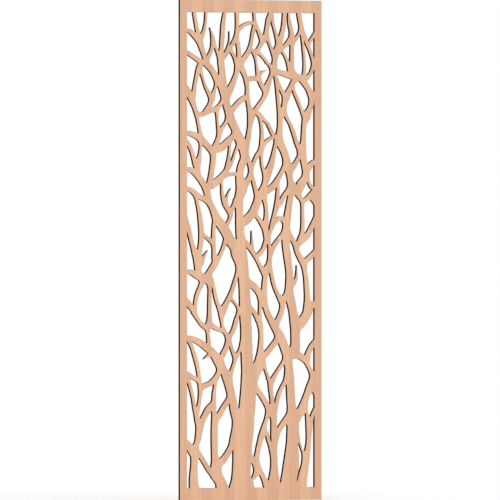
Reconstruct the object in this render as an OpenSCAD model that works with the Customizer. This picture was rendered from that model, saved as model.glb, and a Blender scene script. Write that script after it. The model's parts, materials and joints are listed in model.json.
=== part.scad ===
// Fretwork wood panel.
// One board glued edge to edge from thirteen full-length staves, then cut right through so that
// only a thicket of interlaced trunks and branches is left inside a plain border.
// Millimetres. Origin: middle of the bottom edge. X across, Y through the thickness, Z up.
// The front face looks towards -Y.

/* [Board] */
// Width of the finished board
panel_w = 600; // [480:10:720]
// Height of the finished board
panel_h = 2000; // [1600:50:2400]
// Thickness of the board
board_t = 18; // [12:1:27]

/* [Border] */
// Height of the plain rail left at the top and at the bottom
rail_h = 50; // [36:2:80]
// Width of the plain strip left down each side
side_w = 30; // [20:2:44]

/* [Fretwork] */
// Added to the width of every branch (below zero thins them)
branch_gain = 0; // [-1:0.5:3]
// Width of the cutter: a narrower gap between branches stays closed
cutter_d = 2; // [1:0.5:4]
// Longest straight step along the curve of a branch
step_len = 22; // [16:2:30]

/* [Glue joints] */
// Set-back of every sawn stave face from its joint line
glue_gap = 0; // [0:0.05:0.2]

/* [Colours] */
// Paler staves
light_wood = "#E7BA99"; // [#E7BA99:Pale, #D9A982:Warm, #C99A70:Oiled]
// Darker staves
dark_wood = "#DCB091"; // [#DCB091:Pale, #CD9C78:Warm, #B98A63:Oiled]

/* [Hidden] */
NODES = ["stave_01", "stave_02", "stave_03", "stave_04", "stave_05", "stave_06", "stave_07",
         "stave_08", "stave_09", "stave_10", "stave_11", "stave_12", "stave_13"];
stave_count = len(NODES);
// How far the ends of the drawn branches run into the side strips and the two rails
bite_x = 18;
bite_foot = 6;
bite_head = 15;
// Side strip of the board that the branches are drawn on
drawn_side = 30;
// Nothing thinner than this is left standing, across a branch and at a glue joint
thinnest = 1;
speck = 0.2;
// Largest rounding put on the end of a branch where it runs into another one
end_d = 26;

// Each branch is a list of stations [across, up, width] along its middle line.

// Branches of the crown band, left half, z 1750 to 2000
crown_left = [
  [[-239, 1965, 13], [-238, 1945, 13.5], [-230, 1900, 14], [-224, 1870, 16], [-214, 1845, 20]],
  [[-187, 1965, 9], [-189, 1940, 9], [-191, 1905, 10], [-197, 1876, 13], [-208, 1850, 18],
   [-214, 1838, 20]],
  [[-282, 1881, 12], [-256, 1874, 18], [-234, 1855, 24], [-215, 1835, 26], [-210, 1815, 21],
   [-203, 1795, 18], [-194, 1770, 18], [-186, 1750, 22]],
  [[-173, 1889, 2], [-166, 1870, 7], [-160, 1848, 15], [-157, 1825, 20], [-164, 1802, 14],
   [-174, 1780, 15], [-188, 1757, 18]],
  [[-158, 1836, 14], [-154, 1824, 10], [-148, 1808, 8], [-141, 1793, 12], [-133, 1775, 16]],
  [[-108, 1965, 12], [-109.5, 1948, 12], [-114, 1925, 15], [-117, 1900, 17], [-120, 1850, 17.5],
   [-123, 1805, 17], [-127, 1775, 24], [-126, 1750, 24]],
  [[-91, 1874, 2], [-89.5, 1850, 3], [-91.5, 1830, 5], [-96, 1808, 12], [-101, 1795, 15]],
  [[-58, 1965, 15], [-57, 1925, 14], [-57, 1890, 13.5], [-58, 1865, 17], [-62, 1848, 20],
   [-72, 1830, 17], [-82, 1816, 15], [-93, 1800, 17], [-107, 1783, 18], [-120, 1768, 20]],
  [[-60, 1850, 18], [-54, 1825, 16], [-50, 1800, 15.5], [-49, 1778, 17], [-47, 1755, 26]],
  [[-95, 1805, 16], [-82, 1795, 15], [-73, 1782, 13], [-65, 1764, 14], [-60, 1745, 16],
   [-52, 1732, 14]],
  [[-55, 1877, 15], [-40, 1891, 15], [-25, 1902, 15], [-8, 1909, 15], [12, 1909, 16]],
  [[-285, 1796, 17], [-268, 1789, 17], [-244, 1774, 17], [-222, 1759, 19], [-202, 1750, 22]],
];

// Branches of the crown band, right half, z 1750 to 2000
crown_right = [
  [[14, 1965, 11], [15.6, 1945, 11.7], [17, 1925, 11], [20, 1905, 14], [28, 1888, 13.6],
   [38, 1866, 15], [50, 1845, 25]],
  [[19, 1910, 14], [14, 1888, 15], [9, 1868, 14], [6, 1850, 13.3], [2, 1825, 14], [-4, 1805, 17],
   [-12, 1788, 20]],
  [[87, 1965, 17], [84, 1945, 17], [76, 1925, 20], [73, 1905, 18], [69, 1885, 17.5], [66, 1865, 19],
   [61, 1850, 28]],
  [[88, 1950, 16], [92, 1920, 13], [96.5, 1897, 10], [103, 1877, 10.5], [109, 1860, 14],
   [116, 1840, 20], [119, 1824, 20]],
  [[60, 1852, 26], [50, 1833, 18], [41, 1818, 16], [32, 1803, 17], [22, 1789, 16]],
  [[68, 1858, 20], [76, 1835, 11.5], [82.5, 1819, 11], [91, 1799, 14], [100, 1780, 20],
   [105, 1764, 16]],
  [[143, 1965, 15], [143, 1945, 15], [142, 1920, 16.5], [138, 1885, 17.5], [131, 1862, 18],
   [126, 1840, 20], [122, 1815, 26]],
  [[161, 1965, 7], [161, 1947, 7], [162, 1925, 11.5], [167, 1900, 16], [173, 1876, 17],
   [174, 1855, 20], [163, 1836, 19], [149, 1820, 16], [135, 1808, 15], [120, 1800, 22]],
  [[212, 1882, 12], [203, 1863, 12], [192, 1847, 14], [180, 1835, 20], [170, 1824, 10]],
  [[204, 1965, 18], [205.5, 1947, 18], [208.5, 1925, 17.5], [214, 1900, 17.4], [218, 1875, 18],
   [220, 1850, 12], [222, 1825, 10], [223.5, 1805, 10], [226, 1785, 10.5], [228, 1765, 10.5],
   [229, 1745, 11]],
  [[218, 1880, 18], [228, 1858, 17], [236, 1838, 16], [243, 1818, 14], [248, 1808, 12],
   [255, 1790, 12], [262, 1770, 14], [268, 1748, 14]],
  [[278, 1875, 14], [270, 1864, 14], [261, 1851, 13], [252, 1836, 13], [245, 1820, 13]],
  [[6, 1800, 14], [14, 1795, 20], [17, 1785, 16], [20, 1770, 9], [23.5, 1750, 7], [25, 1735, 7]],
  [[20, 1797, 16], [38, 1786, 13], [50, 1775, 10.5], [62, 1761, 10.5], [71, 1748, 11]],
  [[118, 1815, 28], [111, 1795, 30], [106, 1780, 24], [104, 1765, 19], [101, 1750, 20]],
  [[120, 1812, 24], [134, 1796, 11], [144, 1782, 10], [152, 1767, 10], [159, 1750, 14]],
  [[178, 1850, 24], [175.5, 1820, 14], [175.3, 1793, 16], [175, 1763, 16.5], [174, 1740, 18]],
];

// Branches of the upper band, left half, z 1500 to 1750
upper_left = [
  [[-192, 1752, 26], [-181, 1738, 24], [-169, 1726, 23], [-156, 1708, 23], [-145, 1688, 28],
   [-130, 1665, 30], [-118, 1650, 30]],
  [[-206, 1752, 22], [-218, 1727, 22], [-226, 1700, 17], [-232.5, 1675, 13.5], [-237.5, 1645, 14],
   [-242, 1620, 20], [-246, 1600, 20]],
  [[-213, 1722, 16], [-207, 1700, 9.5], [-203, 1688, 9], [-196, 1667, 10], [-189, 1649, 12.5],
   [-181, 1635, 13], [-170, 1615, 20], [-161, 1602, 14]],
  [[-142, 1685, 18], [-145, 1668, 10], [-149, 1650, 9.5], [-152.5, 1637, 13], [-161, 1617, 22],
   [-162, 1605, 21], [-168, 1588, 19], [-180, 1566, 20], [-192, 1551, 20]],
  [[-228, 1545, 20], [-214, 1541, 20], [-198, 1544, 19], [-180, 1556, 22], [-162, 1561, 22],
   [-148, 1562, 20], [-136, 1571, 17], [-126, 1585, 14], [-112, 1602, 20]],
  [[-285, 1658, 26], [-270, 1640, 28], [-256, 1617, 27], [-245, 1590, 20], [-235, 1563, 15],
   [-229, 1545, 16]],
  [[-126, 1750, 26], [-122, 1725, 25], [-120, 1690, 30], [-118, 1660, 33], [-113, 1635, 38],
   [-107, 1610, 30], [-105, 1595, 27], [-101, 1578, 29], [-93, 1558, 33], [-88, 1540, 34],
   [-83, 1520, 34], [-73, 1500, 32]],
  [[-47, 1757, 26], [-48, 1740, 32], [-55, 1728, 24], [-60.5, 1707, 17], [-67, 1687, 19.5],
   [-76, 1665, 23], [-87, 1643, 28], [-98, 1622, 30], [-108, 1602, 34]],
  [[-46, 1750, 26], [-43, 1735, 26], [-36, 1722, 22], [-28, 1709, 20], [-22, 1695, 18],
   [-16.5, 1672, 18], [-14, 1650, 14], [-14.5, 1628, 16], [-13, 1605, 16], [-9.5, 1585, 16],
   [-5, 1567, 18], [2, 1550, 30], [4, 1535, 32], [0, 1516, 24]],
  [[-15, 1612, 20], [-28, 1608, 21], [-40, 1600, 21], [-54, 1588, 20], [-66, 1574, 20],
   [-80, 1560, 24]],
  [[-17, 1685, 18], [-2, 1685, 20], [12, 1687, 21], [28, 1688, 22]],
  [[-12, 1788, 20], [-24, 1772, 20], [-36, 1756, 22], [-46, 1742, 26]],
];

// Branches of the upper band, right half, z 1500 to 1750
upper_right = [
  [[30, 1703, 12], [38, 1703, 13], [46, 1711, 9], [56, 1717.5, 6], [68, 1719, 2.5]],
  [[25, 1740, 7], [26.5, 1730, 11], [30, 1714, 14], [33, 1697, 18], [39.5, 1677, 16], [45, 1661, 18],
   [56, 1648, 22], [64, 1640, 20]],
  [[71, 1750, 9], [80, 1742, 13], [88, 1733, 17], [96, 1722, 22]],
  [[101, 1752, 20], [101, 1735, 23], [98, 1720, 27], [90, 1703, 16], [83, 1687, 16], [75, 1668, 21],
   [68, 1650, 24], [66, 1633, 21], [60, 1616, 17], [48, 1597, 16.5], [34, 1579, 17], [22, 1562, 19],
   [8, 1547, 20]],
  [[98, 1721, 24], [112, 1716, 21], [128, 1711, 20], [145, 1706, 22], [165, 1702, 28], [190, 1695, 30],
   [215, 1687, 24]],
  [[159, 1750, 14], [164, 1733, 17], [168, 1718, 22], [172, 1705, 28]],
  [[174, 1740, 18], [173, 1722, 22], [178, 1705, 32]],
  [[229, 1745, 11], [229, 1725, 12], [228, 1708, 15], [225, 1692, 22]],
  [[268, 1748, 14], [265, 1733, 15], [257.5, 1715, 13], [250, 1701, 14], [238, 1690, 18],
   [224, 1682, 26]],
  [[103, 1712, 18], [107, 1690, 13], [111, 1668, 15], [113, 1645, 13.5], [115, 1620, 13.5],
   [117, 1600, 13.5], [119, 1580, 13], [122, 1560, 18]],
  [[111, 1684, 12], [119, 1662, 14], [128, 1645, 14], [138, 1629, 16], [148, 1612, 22]],
  [[190, 1690, 24], [179, 1669, 19], [169, 1652, 18], [161, 1635, 22], [151, 1612, 28],
   [146, 1595, 23], [142, 1578, 19], [140, 1560, 24], [146, 1545, 16], [154, 1529, 13],
   [162, 1515, 11.5]],
  [[174, 1666, 14], [181, 1645, 12], [186, 1630, 12], [195.5, 1611, 13], [204, 1589, 12.5],
   [213.5, 1567, 11.5], [224, 1546, 18], [231, 1530, 18]],
  [[134, 1562, 20], [131, 1550, 34], [126, 1530, 23], [125, 1515, 20]],
  [[215, 1690, 28], [229, 1670, 24], [240, 1655, 22], [250, 1637, 22], [259, 1620, 30],
   [261, 1605, 22], [258, 1585, 20], [252, 1568, 20], [243, 1552, 28], [237, 1535, 36],
   [232, 1518, 22]],
  [[264, 1630, 16], [275, 1622, 34], [288, 1615, 40]],
  [[16, 1558, 16], [30, 1548, 19], [43, 1536, 18], [54, 1524, 13], [64, 1514, 11], [72, 1508, 12]],
  [[34, 1547, 16], [41, 1528, 14], [43.5, 1512, 11], [46, 1500, 12.5]],
];

// Branches of the shoulder band, left half, z 1250 to 1500
shoulder_left = [
  [[-229, 1545, 16], [-224, 1522, 11], [-219.5, 1500, 12], [-214.5, 1475, 13], [-212, 1455, 20],
   [-209, 1438, 18], [-210.5, 1415, 10], [-212.5, 1398, 10], [-215.5, 1375, 14], [-222, 1355, 26],
   [-226, 1335, 24]],
  [[-285, 1467, 22], [-262, 1467, 20], [-246, 1463, 21], [-230, 1457, 24], [-213, 1446, 26],
   [-198, 1432, 24], [-184, 1419, 24], [-170, 1405, 25], [-160, 1394, 26]],
  [[-285, 1436, 24], [-270, 1431, 20], [-258, 1415, 16], [-250, 1398, 15.5], [-245.5, 1385, 15.5],
   [-241, 1368, 15], [-234, 1350, 22], [-227, 1333, 24], [-224, 1316, 24], [-219, 1301, 16]],
  [[-285, 1322, 22], [-262, 1322, 20], [-247, 1319, 22], [-232, 1308, 25], [-220, 1294, 24],
   [-208, 1277, 23], [-196, 1259, 25]],
  [[-147, 1566, 18], [-142, 1548, 12], [-141, 1530, 9.5], [-139.5, 1500, 8.5], [-136, 1485, 14],
   [-131, 1468, 19], [-135, 1451, 18], [-139, 1438, 19], [-144, 1425, 22], [-150, 1410, 26]],
  [[-95, 1525, 20], [-103, 1512, 14], [-113, 1499, 12.5], [-123, 1485, 16], [-130, 1471, 16]],
  [[-83, 1520, 34], [-72, 1500, 33], [-66, 1487, 30], [-60, 1474, 31], [-52, 1457, 36],
   [-42, 1435, 38], [-32, 1410, 38], [-24.5, 1382, 34], [-24, 1365, 34], [-38, 1342, 30],
   [-43, 1325, 28], [-45.5, 1308, 28], [-46.5, 1290, 31], [-43, 1270, 37], [-39, 1254, 43]],
  [[-68, 1458, 26], [-82, 1447, 22], [-95, 1438, 24], [-106, 1425, 26], [-122, 1410, 30],
   [-143, 1403, 30], [-158, 1396, 24], [-157, 1380, 23], [-158, 1365, 21], [-160, 1345, 21],
   [-163.3, 1325, 19.7], [-166.5, 1305, 19.7], [-169.5, 1285, 21], [-172, 1258, 32]],
  [[-92, 1440, 16], [-88.9, 1415, 9], [-89.3, 1398, 9.5], [-91, 1381, 10.6], [-92.5, 1365, 12],
   [-94, 1350, 18], [-97, 1333, 19], [-104, 1315, 20], [-114, 1302, 24], [-128, 1286, 26],
   [-145, 1272, 30], [-165, 1260, 32]],
  [[-50, 1416, 18], [-60, 1404, 10.5], [-66, 1391, 9.5], [-70.5, 1377, 9], [-74.3, 1365, 9.5],
   [-79, 1353, 11], [-87, 1337, 16], [-96, 1323, 14]],
  [[-55, 1304, 15], [-80, 1304, 15], [-98, 1303, 17], [-114, 1296, 22]],
  [[0, 1516, 24], [-3, 1500, 18], [-6, 1480, 16], [-8, 1460, 20], [-14, 1435, 22], [-20, 1405, 26]],
  [[-16, 1375, 20], [-9, 1357, 16], [-1, 1340, 20], [1.7, 1325, 18.5], [1.3, 1310, 18.5],
   [0, 1297, 20], [-8, 1284, 22], [-20, 1268, 28], [-33, 1252, 30]],
];

// Branches of the shoulder band, right half, z 1250 to 1500
shoulder_right = [
  [[46, 1500, 12.5], [48, 1480, 12.5], [48.5, 1465, 13], [48, 1447, 15], [48, 1425, 19],
   [47, 1407, 20], [40, 1393, 20], [28, 1379, 18], [19, 1364, 15], [13, 1350, 14], [5, 1336, 16]],
  [[72, 1508, 12], [77, 1498, 14], [84, 1484, 14], [91, 1469, 15], [100, 1455, 14]],
  [[106, 1455, 14], [93, 1451, 14], [83, 1447, 14], [73, 1440, 14.5], [63, 1431, 14.5], [54, 1418, 16],
   [48, 1408, 14]],
  [[46, 1395, 14], [45.8, 1373, 10.4], [45.5, 1361, 10], [46.7, 1349, 10], [49, 1335, 10.6],
   [55, 1319, 14], [62, 1305, 20]],
  [[125, 1515, 20], [124.5, 1495, 20], [123.5, 1482, 22], [122, 1467, 25], [119, 1450, 32],
   [120, 1435, 36], [130, 1417, 30], [138, 1404, 28], [143.5, 1391, 28], [147.5, 1379, 28],
   [151, 1366, 28], [153.5, 1353, 30], [155, 1336, 40], [163, 1318, 30], [165.5, 1301, 23.5],
   [167, 1287, 21.5], [170, 1270, 24], [174, 1252, 34]],
  [[112, 1440, 24], [105, 1420, 12.5], [101.3, 1405, 14.5], [97.6, 1387, 16], [94, 1369, 19],
   [90, 1353, 22], [85.5, 1339, 25], [79, 1324, 29], [72, 1308, 33], [67.5, 1292, 29],
   [64.5, 1277, 25], [61, 1265, 23], [56, 1252, 22]],
  [[162, 1515, 11.5], [169.5, 1501, 13], [176, 1486, 15], [181.5, 1471, 16], [186, 1457, 15.5],
   [191, 1440, 15], [198, 1423, 18], [208, 1404, 18]],
  [[230, 1515, 22], [226.5, 1500, 18], [225, 1485, 16.5], [225, 1465, 18.5], [224.5, 1445, 19.7],
   [223, 1428, 22], [219, 1410, 34], [217, 1392, 37], [223, 1372, 27], [226, 1355, 25],
   [231, 1338, 28], [236, 1321, 30], [236, 1307, 28], [232, 1292, 28], [222, 1276, 32],
   [208, 1258, 38]],
  [[214, 1384, 14], [202, 1368, 17], [195, 1353, 18], [187, 1342, 21], [178, 1332, 26],
   [166, 1324, 22]],
  [[288, 1357, 24], [268, 1353, 21], [256, 1344, 21], [246, 1331, 25], [236, 1318, 28]],
  [[238, 1296, 20], [245, 1279, 12.5], [249, 1267, 12], [256, 1255, 14], [268, 1246, 18]],
  [[156, 1345, 30], [142, 1328, 20], [132, 1313, 16.5], [125, 1301, 17], [117, 1287, 20],
   [110, 1275, 22], [103, 1263, 25], [92, 1251, 26]],
  [[5, 1298, 12], [9, 1287, 14], [12, 1275, 15], [15, 1263, 15.5], [18.5, 1250, 16]],
  [[232, 1292, 28], [222, 1272, 30], [211, 1252, 32], [198, 1236, 34]],
];

// Branches of the middle band, left half, z 1000 to 1250
middle_left = [
  [[-285, 1243, 24], [-263, 1244, 19], [-248, 1238, 20], [-236, 1228, 22], [-226, 1217, 24],
   [-212, 1211, 20], [-195, 1206, 24], [-178, 1198, 28], [-169.5, 1184, 25], [-163.5, 1172, 24],
   [-157, 1158, 26], [-150, 1142, 30], [-143, 1124, 36], [-136, 1106, 40]],
  [[-228, 1212, 18], [-227, 1197, 11.5], [-224, 1181, 12], [-220.5, 1167, 13], [-217, 1151, 15],
   [-214.2, 1135, 17], [-212.7, 1119, 18], [-210.7, 1103, 19], [-209.2, 1085, 18.5],
   [-208.3, 1066, 19], [-209, 1045, 18.5], [-211, 1025, 17.5], [-213.5, 1009, 17.8], [-215.5, 999, 18]],
  [[-210, 1066, 18], [-202, 1059, 14], [-191, 1054, 13], [-180, 1047, 14.5], [-170, 1039, 16],
   [-160, 1030, 18]],
  [[-285, 1146, 22], [-276.5, 1128, 21], [-271.5, 1111, 20], [-266, 1095, 19.5], [-261.5, 1079, 19],
   [-256.5, 1062, 17], [-253, 1045, 17], [-248.6, 1029, 16.5], [-243.5, 1014, 17], [-241, 1005, 20]],
  [[-194, 1257, 24], [-186, 1245, 32], [-184, 1233, 27], [-181, 1218, 25], [-179, 1202, 24]],
  [[-172, 1262, 36], [-160, 1258, 28], [-147, 1266, 20]],
  [[-143, 1122, 26], [-152, 1108, 18], [-156, 1093, 14], [-157, 1075, 13.5], [-157, 1055, 15],
   [-158, 1040, 17], [-156.5, 1025, 16.5], [-155.3, 1010, 14], [-155, 999, 14]],
  [[-140, 1124, 30], [-128, 1106, 38], [-118, 1091, 38], [-108, 1078, 38], [-100, 1065, 40],
   [-92, 1047, 40], [-80, 1030, 44], [-62, 1020, 50]],
  [[-126, 1286, 16], [-123, 1270, 9], [-121.5, 1250, 8.2], [-121, 1235, 10], [-119, 1219, 12],
   [-114, 1205, 20], [-110, 1196, 22], [-107, 1183, 20], [-100, 1170, 19], [-90, 1158, 22],
   [-85, 1149, 20], [-83.5, 1138, 15], [-86, 1127, 13.5], [-91.5, 1116, 13], [-99, 1106, 14],
   [-108, 1096, 18]],
  [[-83, 1247, 2], [-89, 1240, 4.5], [-94.5, 1230, 6], [-98.5, 1220, 7], [-102, 1208, 9],
   [-106, 1198, 12]],
  [[-62, 1200, 20], [-68, 1184, 16], [-76, 1170, 16], [-84, 1157, 18]],
  [[-44, 1270, 36], [-38, 1255, 44], [-38, 1240, 45], [-43.5, 1225, 39], [-50, 1207, 34],
   [-52, 1190, 36], [-48.5, 1170, 31], [-47.5, 1150, 29.5], [-47.5, 1130, 30], [-46, 1110, 33],
   [-45, 1095, 34], [-45, 1072, 33], [-43, 1058, 35], [-40, 1044, 36], [-40, 1030, 50],
   [-49, 1012, 60]],
  [[-105, 1042, 18], [-111.5, 1022, 14], [-115.5, 1010, 15], [-119.6, 1000, 13.5]],
  [[6, 1147, 28], [-8, 1130, 34], [-18, 1120, 38], [-38, 1108, 32]],
];

// Branches of the middle band, right half, z 1000 to 1250
middle_right = [
  [[254, 1217, 26], [268, 1210, 32], [284, 1190, 34]],
  [[18.5, 1252, 15], [21, 1240, 15.5], [26, 1227, 19], [34, 1212, 34], [30, 1199, 31], [27, 1188, 32],
   [19, 1169, 32], [12, 1156, 32], [4, 1143, 32]],
  [[56, 1254, 22], [50, 1243, 24], [44, 1231, 27], [40, 1215, 40]],
  [[50, 1233, 40], [56, 1218, 26], [58, 1205, 20], [62, 1190, 15.5], [65, 1175, 14],
   [66.5, 1157, 13.8], [66.8, 1140, 16], [66.3, 1125, 18], [62, 1108, 26], [61, 1093, 26],
   [63.5, 1078, 22.5], [70, 1062, 29], [71, 1048, 28], [70, 1038, 18]],
  [[15, 1142, 20], [27, 1134, 14.5], [35, 1125, 15], [43, 1114, 17], [53, 1100, 24]],
  [[4, 1077, 2.5], [4.2, 1060, 4], [5.5, 1042, 7], [7, 1026, 11], [5, 1010, 14]],
  [[92, 1251, 26], [78, 1243, 26], [62, 1234, 28]],
  [[114, 1268, 10], [117, 1250, 12.7], [116, 1237, 14.2], [114.5, 1220, 15], [113.5, 1205, 16],
   [114, 1190, 22], [111.5, 1175, 22], [106.5, 1162, 18], [102.6, 1150, 15.5], [100, 1138, 15],
   [97, 1122, 20], [93, 1104, 21], [88, 1089, 17], [84, 1076, 13.5], [76, 1064, 14]],
  [[170, 1244, 30], [160, 1235, 26], [149.5, 1226, 20], [142, 1220, 17], [137, 1211, 17.5],
   [133.5, 1202, 18], [127, 1190, 21], [114, 1178, 18]],
  [[92, 1106, 18], [106, 1118, 20], [122, 1128, 16], [136, 1125, 20], [152, 1118, 24]],
  [[180, 1260, 24], [184, 1252, 46], [183, 1238, 48], [171, 1222, 24], [167, 1203, 23],
   [164, 1185, 24], [161.7, 1169, 25], [159.3, 1153, 26.5], [156.5, 1137, 28], [153.5, 1118, 30],
   [152.5, 1105, 28], [151.3, 1094, 28], [151, 1082, 31], [152, 1068, 38], [155, 1052, 46],
   [150, 1038, 32], [149, 1028, 30.5], [150, 1015, 28.5], [151, 999, 27]],
  [[143, 1062, 30], [130, 1052, 24], [117.5, 1042, 17], [108.5, 1030, 17.5], [100, 1018, 19],
   [88, 1003, 20]],
  [[162, 1058, 22], [173, 1050, 20], [182, 1035, 17], [191, 1022, 22], [195, 1008, 21], [194, 998, 18]],
  [[72, 1040, 20], [60, 1026, 16], [58, 1012, 16.5], [53, 1002, 15]],
  [[74, 1040, 20], [78, 1026, 12.5], [80, 1012, 14], [84, 1000, 22]],
  [[197, 1229, 22], [207, 1213, 18.5], [217, 1201, 17], [220.2, 1187, 12.5], [220.4, 1172, 11.5],
   [220.6, 1150, 12], [221, 1125, 13], [221, 1105, 14], [220.3, 1085, 15], [219, 1068, 18],
   [214, 1050, 22], [207, 1038, 20]],
  [[220, 1197, 16], [232, 1202, 16.5], [243, 1208, 19], [254, 1217, 26], [268, 1225, 40],
   [285, 1226, 46]],
  [[288, 1130, 40], [272, 1112, 26], [260, 1095, 20], [250, 1074, 21], [241, 1060, 25],
   [228, 1048, 28], [212, 1036, 25], [200, 1024, 26], [194, 1014, 20]],
];

// Branches of the waist band, left half, z 750 to 1000
waist_left = [
  [[-241, 1005, 20], [-234, 992, 30], [-227, 983, 36], [-221, 965, 40], [-221, 946, 35],
   [-222, 931, 28], [-222.5, 918, 25], [-218, 904, 28], [-208, 890, 24]],
  [[-215.5, 999, 18], [-218, 985, 24], [-220, 970, 32]],
  [[-181, 999, 2], [-188, 991, 5], [-194, 982, 8.5], [-199, 971, 11], [-203, 959, 14], [-210, 945, 20]],
  [[-285, 912, 26], [-265, 914, 19], [-251, 912, 22], [-239, 907, 26], [-225, 899, 30],
   [-208, 889, 22]],
  [[-200, 882, 24], [-208, 861, 17], [-214.5, 850, 16.5], [-220.8, 837, 16], [-226.6, 823, 15.5],
   [-229.8, 809, 16], [-232.8, 793, 14.3], [-234.5, 779, 13], [-240, 763, 24], [-238.6, 750, 22]],
  [[-285, 805, 30], [-272, 797, 24], [-262, 786, 23], [-252, 773, 24], [-242, 762, 20]],
  [[-155, 999, 14], [-155, 985, 15.5], [-150, 968, 26], [-147, 954, 27], [-155, 938, 26],
   [-164.4, 925, 25], [-172, 914, 24], [-178, 902, 28], [-184, 888, 34], [-178, 876, 20]],
  [[-119.6, 1000, 13], [-123, 992, 13.5], [-128, 982, 15], [-136, 968, 18], [-142, 958, 20]],
  [[-208, 889, 30], [-192, 886, 34], [-178, 880, 34], [-168, 868, 28]],
  [[-184, 880, 14], [-175, 866, 14], [-172, 849, 14], [-173, 815, 14], [-173.6, 780, 15],
   [-174, 750, 16]],
  [[-172, 890, 22], [-163, 870, 20], [-156, 850, 12], [-152.7, 835, 13], [-149, 815, 14.5],
   [-145, 799, 14.5], [-139, 783, 14], [-130, 768, 20], [-122, 752, 27]],
  [[-42, 928, 30], [-52, 911, 22], [-60, 896, 12.5], [-63, 884, 15], [-67.6, 871, 16],
   [-73.2, 853, 15.5], [-79, 837, 15.5], [-86, 821, 16], [-92, 808, 19], [-97, 797, 20],
   [-104, 784, 21], [-113, 768, 26], [-120, 752, 29]],
  [[-88, 810, 16], [-78, 802, 11.5], [-67, 791, 10.5], [-59, 780, 10], [-50, 767, 14], [-44, 757, 16]],
  [[-52, 1010, 60], [-50, 990, 66], [-44, 971, 60], [-40, 957, 54], [-37, 943, 51], [-35, 930, 50],
   [-35, 912, 52], [-30, 895, 44], [-27, 865, 44], [-26, 845, 43], [-25, 825, 44], [-24, 801, 45],
   [-23, 777, 46], [-22, 755, 60]],
];

// Branches of the waist band, right half, z 750 to 1000
waist_right = [
  [[-20, 868, 40], [0, 864, 30], [12, 857, 27], [23, 847, 25], [33, 834, 26], [42, 820, 28],
   [50, 805, 34], [52, 790, 34]],
  [[-24, 1034, 20], [-10, 1018, 20], [3, 1005, 22], [8, 995, 17], [14, 985, 17], [21, 975, 18],
   [27, 962, 13.5], [33.5, 949, 12.5], [41, 935, 14], [50, 921, 22], [60, 910, 26]],
  [[57, 1010, 16], [52, 1001, 15], [44, 990, 18], [34, 982, 18], [24, 975, 16]],
  [[87, 1002, 27], [85, 989, 22.5], [82.5, 979, 18], [81, 967, 15.5], [79, 950, 20], [76, 936, 26],
   [70, 922, 36], [64, 909, 26], [63.5, 899, 17], [61.5, 889, 18.5], [59.5, 876, 19.5],
   [58.3, 863, 20], [58, 849, 20], [56, 835, 24], [52, 815, 36], [51.6, 795, 36], [57, 783, 30],
   [62, 775, 21], [65.3, 765, 21], [70.7, 750, 22]],
  [[82, 928, 18], [87, 914, 12.8], [88.8, 902, 13.5], [92, 885, 13.5], [96, 868, 14], [101.3, 853, 14],
   [107.5, 837, 14], [116, 821, 15], [126, 808, 24], [134, 795, 26], [136, 783, 20.5],
   [134.5, 771, 18.5], [132, 760, 19], [129.5, 749, 21]],
  [[44, 785, 18], [40, 770, 12], [38.5, 750, 12]],
  [[152, 1000, 28], [155, 985, 31], [157.5, 965, 29], [160, 945, 27.5], [163, 925, 27.5],
   [164.5, 909, 27.7], [165.2, 893, 28], [167, 875, 34], [166, 858, 34], [163.7, 846, 31],
   [163, 833, 35], [162, 820, 40], [166, 806, 42], [171.5, 794, 35], [174, 782, 35], [176.7, 769, 34],
   [179.5, 755, 33], [180.5, 748, 33]],
  [[195, 939, 2], [195.3, 925, 3.5], [195.4, 912, 4.8], [195, 900, 7], [193.5, 887, 11],
   [187, 873, 20], [172, 862, 20]],
  [[134, 802, 22], [145, 808, 30], [158, 815, 30]],
  [[194, 1000, 18], [199.5, 989, 20], [206, 977, 21], [214, 964, 24], [224, 950, 27], [228, 934, 21],
   [229.5, 917, 16], [233.6, 897, 17.4], [236.5, 875, 19], [237.6, 855, 20], [239, 835, 20],
   [240, 815, 20.5], [241, 798, 24], [245, 783, 36], [244, 765, 38], [243, 750, 38]],
  [[285, 995, 36], [268, 986, 22], [256, 976, 20], [246, 966, 22], [228, 952, 18]],
  [[285, 783, 36], [265, 781, 26], [250, 783, 26]],
];

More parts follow.
